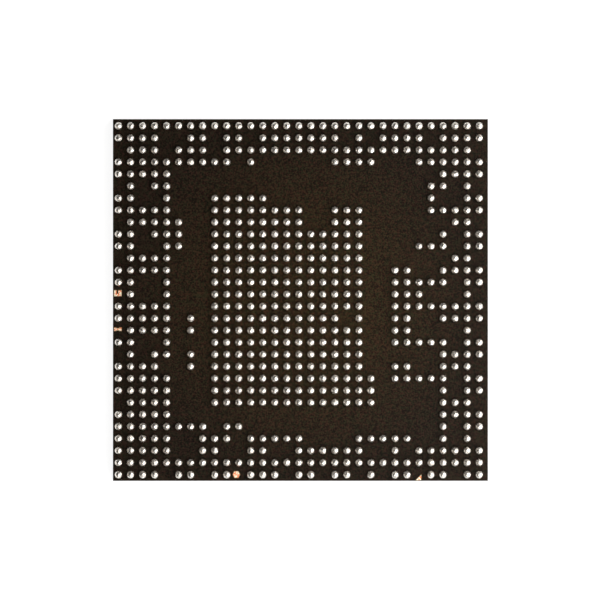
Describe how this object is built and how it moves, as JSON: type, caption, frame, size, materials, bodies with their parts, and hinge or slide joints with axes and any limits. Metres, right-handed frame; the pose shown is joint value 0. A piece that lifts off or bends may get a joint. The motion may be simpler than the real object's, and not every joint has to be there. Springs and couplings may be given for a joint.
{
  "type": "ball grid array chip package",
  "caption": "Flat square chip package lying ball side up: a partly filled grid of solder balls on a dark laminate, over a moulded cap.",
  "frame": {"origin": "centre of the flat face of the moulded cap, on which the package lies", "axes": "+Z from the cap to the balls, +X along the rows of balls, +Y along the columns towards row A"},
  "size_m": [0.0124, 0.012, 0.0009],
  "materials": {
    "mould_compound": "matte black filled epoxy with fine saw marks on its sides",
    "silicon": "polished grey silicon",
    "underfill": "smooth dark epoxy",
    "solder_mask": "semi-gloss very dark brown film",
    "copper": "plated copper",
    "laminate": "sawn resin and glass laminate, dull olive brown",
    "bare_copper": "bright orange bare copper with pale glints",
    "solder": "bright reflowed solder with a fine grain and small dimples"
  },
  "bodies": {
    "root": {"mould_cap": "mould_compound", "silicon_die": "silicon", "die_pillars": "copper", "underfill": "underfill", "die_side_mask": "solder_mask", "die_side_copper": "copper", "substrate_core": "laminate", "core_vias": "copper", "ball_lands": "copper", "index_marks": "bare_copper", "ball_side_mask": "solder_mask", "ball_row_a": "solder", "ball_row_b": "solder", "ball_row_c": "solder", "ball_row_d": "solder", "ball_row_e": "solder", "ball_row_f": "solder", "ball_row_g": "solder", "ball_row_h": "solder", "ball_row_j": "solder", "ball_row_k": "solder", "ball_row_l": "solder", "ball_row_m": "solder", "ball_row_n": "solder", "ball_row_p": "solder", "ball_row_r": "solder", "ball_row_t": "solder", "ball_row_u": "solder", "ball_row_v": "solder", "ball_row_w": "solder", "ball_row_y": "solder", "ball_row_aa": "solder", "ball_row_ab": "solder", "ball_row_ac": "solder", "ball_row_ad": "solder", "ball_row_ae": "solder", "ball_row_af": "solder", "ball_row_ag": "solder", "ball_row_ah": "solder", "ball_row_aj": "solder", "ball_row_ak": "solder"}
  },
  "joints": []
}
